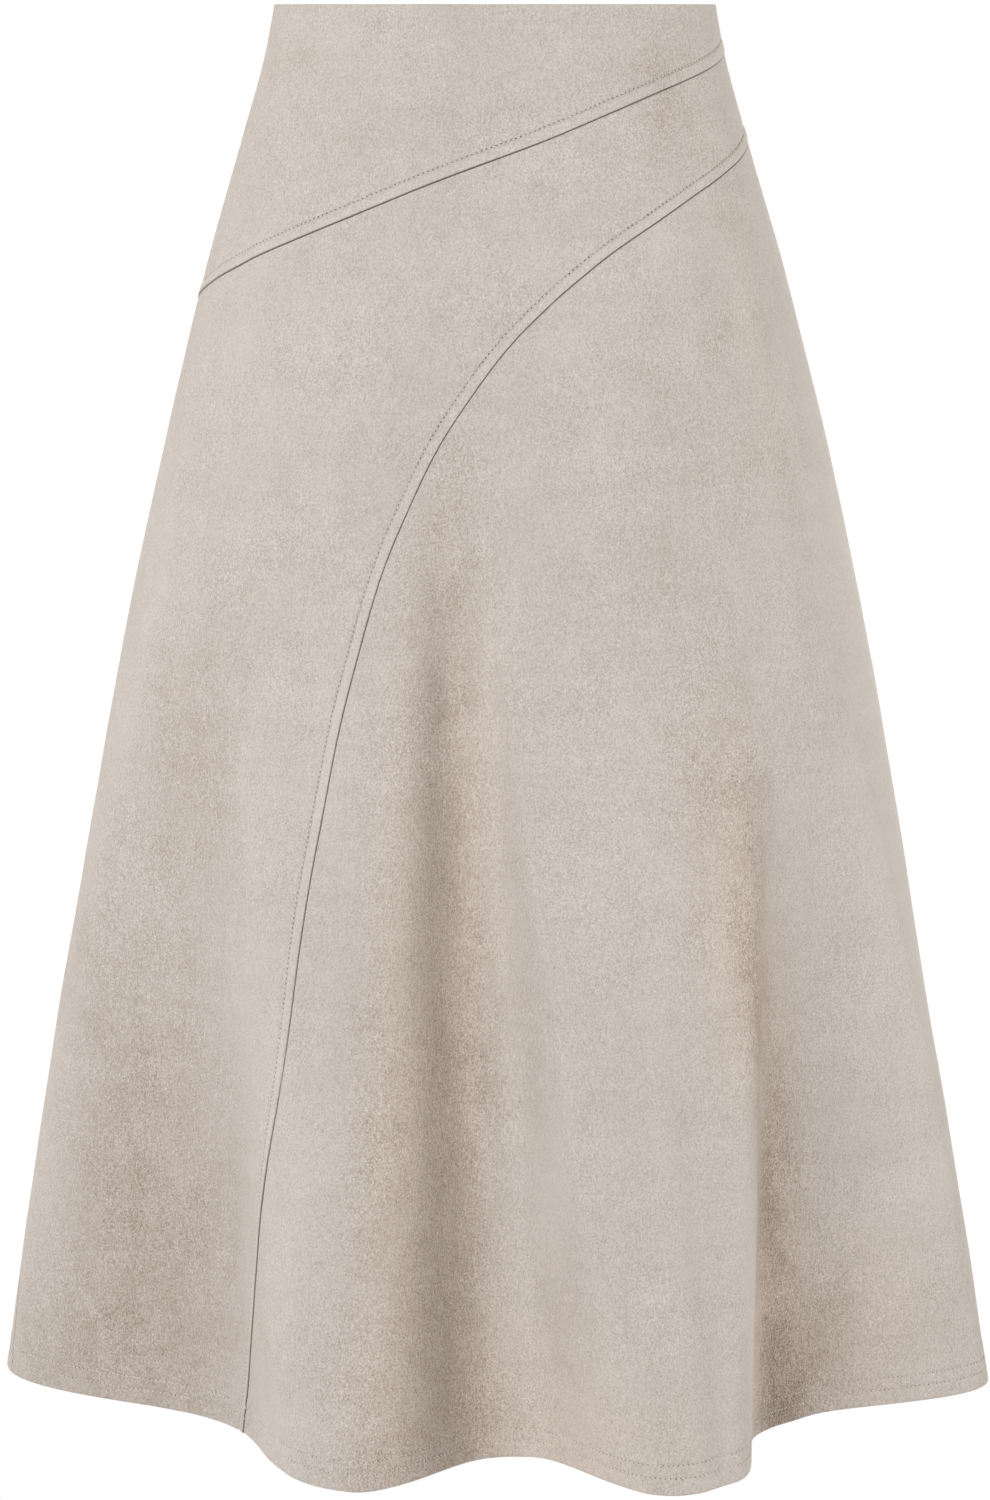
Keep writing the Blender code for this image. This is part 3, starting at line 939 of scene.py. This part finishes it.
def suede():
    """Bonded faux suede: a short nap in oatmeal beige, brushed downwards and mottled."""
    nodes = Nodes("suede")
    place = nodes.add("ShaderNodeTexCoord").outputs["Object"]
    # the panels' painted shading with nap patches, painted warm glow and painted seam shadow
    shading_and_nap, warm, dark = (nodes.add("ShaderNodeAttribute", attribute_name=name).outputs["Fac"]
                       for name in ("painted_shading_and_nap", "warmth", "seam_shade"))
    shading_and_nap = nodes.math("MULTIPLY", shading_and_nap, DISPLAY_GAMMA)
    noises = {texture: nodes.texture(place, texture)
              for texture in (BLOTCH, MOTTLE, WEFT, STREAK, GRAIN)}

    def tone_of(texture):
        return nodes.remap(noises[texture], *NOISE_SPAN, -texture.tone, texture.tone)

    lively = nodes.remap(nodes.noise(place, LIVELY_SCALE, detail=2.0), *NOISE_CORE, *LIVELY)
    lively = nodes.math("SUBTRACT", lively, nodes.math("MULTIPLY", shading_and_nap, LIVELY_DARK))
    lively = nodes.math("ADD", lively, nodes.math("MULTIPLY", warm, LIVELY_WARM))
    lively = nodes.math("MINIMUM", lively, LIVELY_LIMIT)
    tone = nodes.math("ADD", tone_of(GRAIN), tone_of(STREAK))
    tone = nodes.math("ADD", tone, tone_of(MOTTLE))
    tone = nodes.math("MULTIPLY", tone, lively)
    tone = nodes.math("ADD", tone, tone_of(BLOTCH))
    tone = nodes.math("ADD", tone, tone_of(WEFT))
    tone = nodes.math("ADD", nodes.math("ADD", tone, shading_and_nap), 1.0)

    mottling = nodes.remap(noises[MOTTLE], *NOISE_CORE, 0.0, 1.0)
    hue = nodes.mix(mottling, OATMEAL, OATMEAL_DEEP)
    # Dark marks are warm too, painted shade among them.
    warm = nodes.math("ADD", warm, nodes.remap(tone, 1.0, 0.5, 0.0, 1.0))
    hue = nodes.mix(warm, hue, WARM)
    colour = nodes.mix(1.0, hue, tone, "MULTIPLY")
    nodes.set(nodes.shader.inputs["Base Color"], nodes.mix(dark, colour, SEAM_SHADE))

    height = nodes.math("ADD", noises[GRAIN], noises[STREAK])
    nodes.bump(height, strength=0.6, distance=0.5 * MM)
    roughness = nodes.remap(noises[GRAIN], *NOISE_SPAN, 0.82, 0.98)
    nodes.set(nodes.shader.inputs["Roughness"], roughness)
    nodes.shader.inputs["Sheen Weight"].default_value = 0.35
    nodes.shader.inputs["Sheen Roughness"].default_value = 0.4
    nodes.shader.inputs["Sheen Tint"].default_value = NAP_SHEEN
    nodes.shader.inputs["Specular IOR Level"].default_value = 0.2
    return nodes.material


def spun(kind):
    """Spun thread, its strands marked as finely as its kind says, in marks to the metre."""
    nodes = Nodes(kind.name)
    place = nodes.add("ShaderNodeTexCoord").outputs["Object"]
    strand = nodes.noise(place, kind.fineness, detail=2.0, roughness=0.6)
    tone = nodes.remap(strand, *NOISE_SPAN, 0.82, 1.12)
    nodes.set(nodes.shader.inputs["Base Color"], nodes.mix(1.0, kind.colour, tone, "MULTIPLY"))
    nodes.bump(strand, strength=0.4, distance=0.1 * MM)
    nodes.shader.inputs["Roughness"].default_value = 0.75
    nodes.shader.inputs["Sheen Weight"].default_value = 0.1
    return nodes.material


# ---------------------------------------------------------------- stage, light and camera
FLOOR_DROP = 1.10           # waist edge to floor
FLOOR_RADIUS = 400.0        # so far out that its rim is the horizon
FLOOR_RISE = 2.6            # how much higher the floor's far rim lies than its middle
FRONT_GLOW = 0.70           # brightness of floor and sky in front of the skirt
BACK_GLOW = 1.0             # and behind it
GLOW_CHANGE = (-0.45, 0.2)  # how far towards +Y, as a sine, the one turns into the other
GLOW_MIDDLE = 1.0           # radius within which the floor changes more softly

# A soft box stands round the skirt at an angle, and shines at its middle.
SoftBox = namedtuple("SoftBox", "name angle distance height size power")
SOFT_BOXES = (
    SoftBox("key", -24, 3.4, 0.5, 2.0, 96),
    SoftBox("high_key", -45, 3.4, 2.6, 1.4, 45),
    SoftBox("right_side", 82, 3.4, 0.5, 1.4, 79),
    SoftBox("back_left", -122, 3.4, 0.5, 1.4, 42),
    SoftBox("back_high", 172, 3.4, 2.7, 1.4, 80),
)
LIGHT_TARGET = Vector((0, 0, -0.42))
SKY_TOP = 0.12              # share of the sky's brightness that is left overhead
SKY_FADE = (0.08, 0.34)     # heights, as sines, between which it fades


def stage():
    """A wide, plain floor that glows by itself under the skirt, white behind it, dimmer in front.
    """
    nodes = Nodes("white_floor")
    place = nodes.add("ShaderNodeTexCoord").outputs["Object"]
    behind = nodes.add("ShaderNodeSeparateXYZ", {"Vector": place}).outputs["Y"]
    away = nodes.add("ShaderNodeVectorMath", {0: place}, operation="LENGTH").outputs["Value"]
    turned = nodes.math("DIVIDE", behind, nodes.math("ADD", away, GLOW_MIDDLE))
    nodes.set(nodes.shader.inputs["Emission Strength"],
              nodes.remap(turned, *GLOW_CHANGE, FRONT_GLOW, BACK_GLOW))
    nodes.shader.inputs["Emission Color"].default_value = (1, 1, 1, 1)
    nodes.shader.inputs["Base Color"].default_value = (0, 0, 0, 1)
    nodes.shader.inputs["Roughness"].default_value = 1.0
    nodes.shader.inputs["Specular IOR Level"].default_value = 0.0
    bpy.ops.mesh.primitive_cone_add(vertices=128, radius1=0, radius2=FLOOR_RADIUS,
                                    depth=FLOOR_RISE, end_fill_type="NOTHING",
                                    location=(0, 0, FLOOR_RISE / 2 - FLOOR_DROP))
    floor = bpy.context.object
    floor.name = "floor"
    floor.data.materials.append(nodes.material)


def soft_box(box):
    """A round soft light that faces the skirt."""
    lamp = bpy.data.lights.new(box.name, "AREA")
    lamp.shape = "DISK"
    lamp.size = box.size
    lamp.energy = box.power
    made = bpy.data.objects.new(box.name, lamp)
    bpy.context.collection.objects.link(made)
    turn = np.radians(box.angle)
    made.location = (box.distance * np.sin(turn), -box.distance * np.cos(turn), box.height)
    made.rotation_euler = (LIGHT_TARGET - made.location).to_track_quat("-Z", "Y").to_euler()


def lights():
    """The soft boxes, and a sky that is bright near the horizon and dim overhead."""
    for box in SOFT_BOXES:
        soft_box(box)
    world = bpy.data.worlds.new("studio")
    world.use_nodes = True
    tree = world.node_tree

    def ramp(value, from_min, from_max, to_min, to_max):
        node = tree.nodes.new("ShaderNodeMapRange")
        for socket, number in zip(node.inputs[1:5], (from_min, from_max, to_min, to_max)):
            socket.default_value = number
        tree.links.new(value, node.inputs["Value"])
        return node.outputs["Result"]

    place = tree.nodes.new("ShaderNodeTexCoord")
    split = tree.nodes.new("ShaderNodeSeparateXYZ")
    tree.links.new(place.outputs["Generated"], split.inputs["Vector"])
    product = tree.nodes.new("ShaderNodeMath")
    product.operation = "MULTIPLY"
    tree.links.new(ramp(split.outputs["Z"], *SKY_FADE, 1.0, SKY_TOP), product.inputs[0])
    tree.links.new(ramp(split.outputs["Y"], *GLOW_CHANGE, FRONT_GLOW, BACK_GLOW),
                   product.inputs[1])
    background = tree.nodes["Background"]
    background.inputs["Color"].default_value = (1, 1, 1, 1)
    tree.links.new(product.outputs["Value"], background.inputs["Strength"])
    bpy.context.scene.world = world
    bpy.context.scene.view_settings.view_transform = "Standard"


CAMERA_DISTANCE = 2.40      # from the skirt's axis
CAMERA_TILT = 10.03         # degrees below level
CAMERA_FOCUS = 4218         # focal length in pixels of the 990 x 1500 frame
FRAME_HEIGHT = 1500
SENSOR = 36.0               # in millimetres, along the frame's height


def camera():
    """The camera, level with the waist edge and in front of its middle, tilted down."""
    lens = bpy.data.cameras.new("camera")
    lens.sensor_width = SENSOR
    lens.lens = CAMERA_FOCUS / FRAME_HEIGHT * SENSOR
    made = bpy.data.objects.new("camera", lens)
    bpy.context.collection.objects.link(made)
    made.location = (0, -CAMERA_DISTANCE, 0)
    made.rotation_euler = (np.radians(90 - CAMERA_TILT), 0, 0)
    bpy.context.scene.camera = made


# ---------------------------------------------------------------- putting it together
def hang_cloth():
    """The four panels of cloth, each in place of its solid."""
    cloth = suede()
    panels = {"front_yoke": front_yoke(cloth), "front_middle": front_middle(cloth),
              "front_lower": front_lower(cloth), "back": back(cloth)}
    for node, piece in panels.items():
        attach(piece, "root")
        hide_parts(node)


def sew():
    """The seam thread and its painted shadow, and the rows of stitches with their needle holes'
    painted shadow.
    """
    light, dark = spun(TOPSTITCH), spun(DARK_THREAD_AND_SHADOW)
    sewn = [link_mesh("seam_thread_and_shadow", *seam_threads(), dark)]
    rows = {"topstitching": (seam_rows(), SEAM_HOLE), "hem_stitching": (hem_rows(), HEM_HOLE)}
    for name, (lines, hole) in rows.items():
        sewing = gathered([stitches(*line) for line in lines])
        holes = gathered([needle_holes(*line, hole) for line in lines])
        sewn.append(link_mesh(name, *sewing, light))
        sewn.append(link_mesh(name + "_holes", *holes, dark))
    for piece in sewn:
        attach(piece, "root")


def main():
    """Everything in the scene, from the camera to the last stitch."""
    camera()
    lights()
    stage()
    hang_cloth()
    sew()


main()
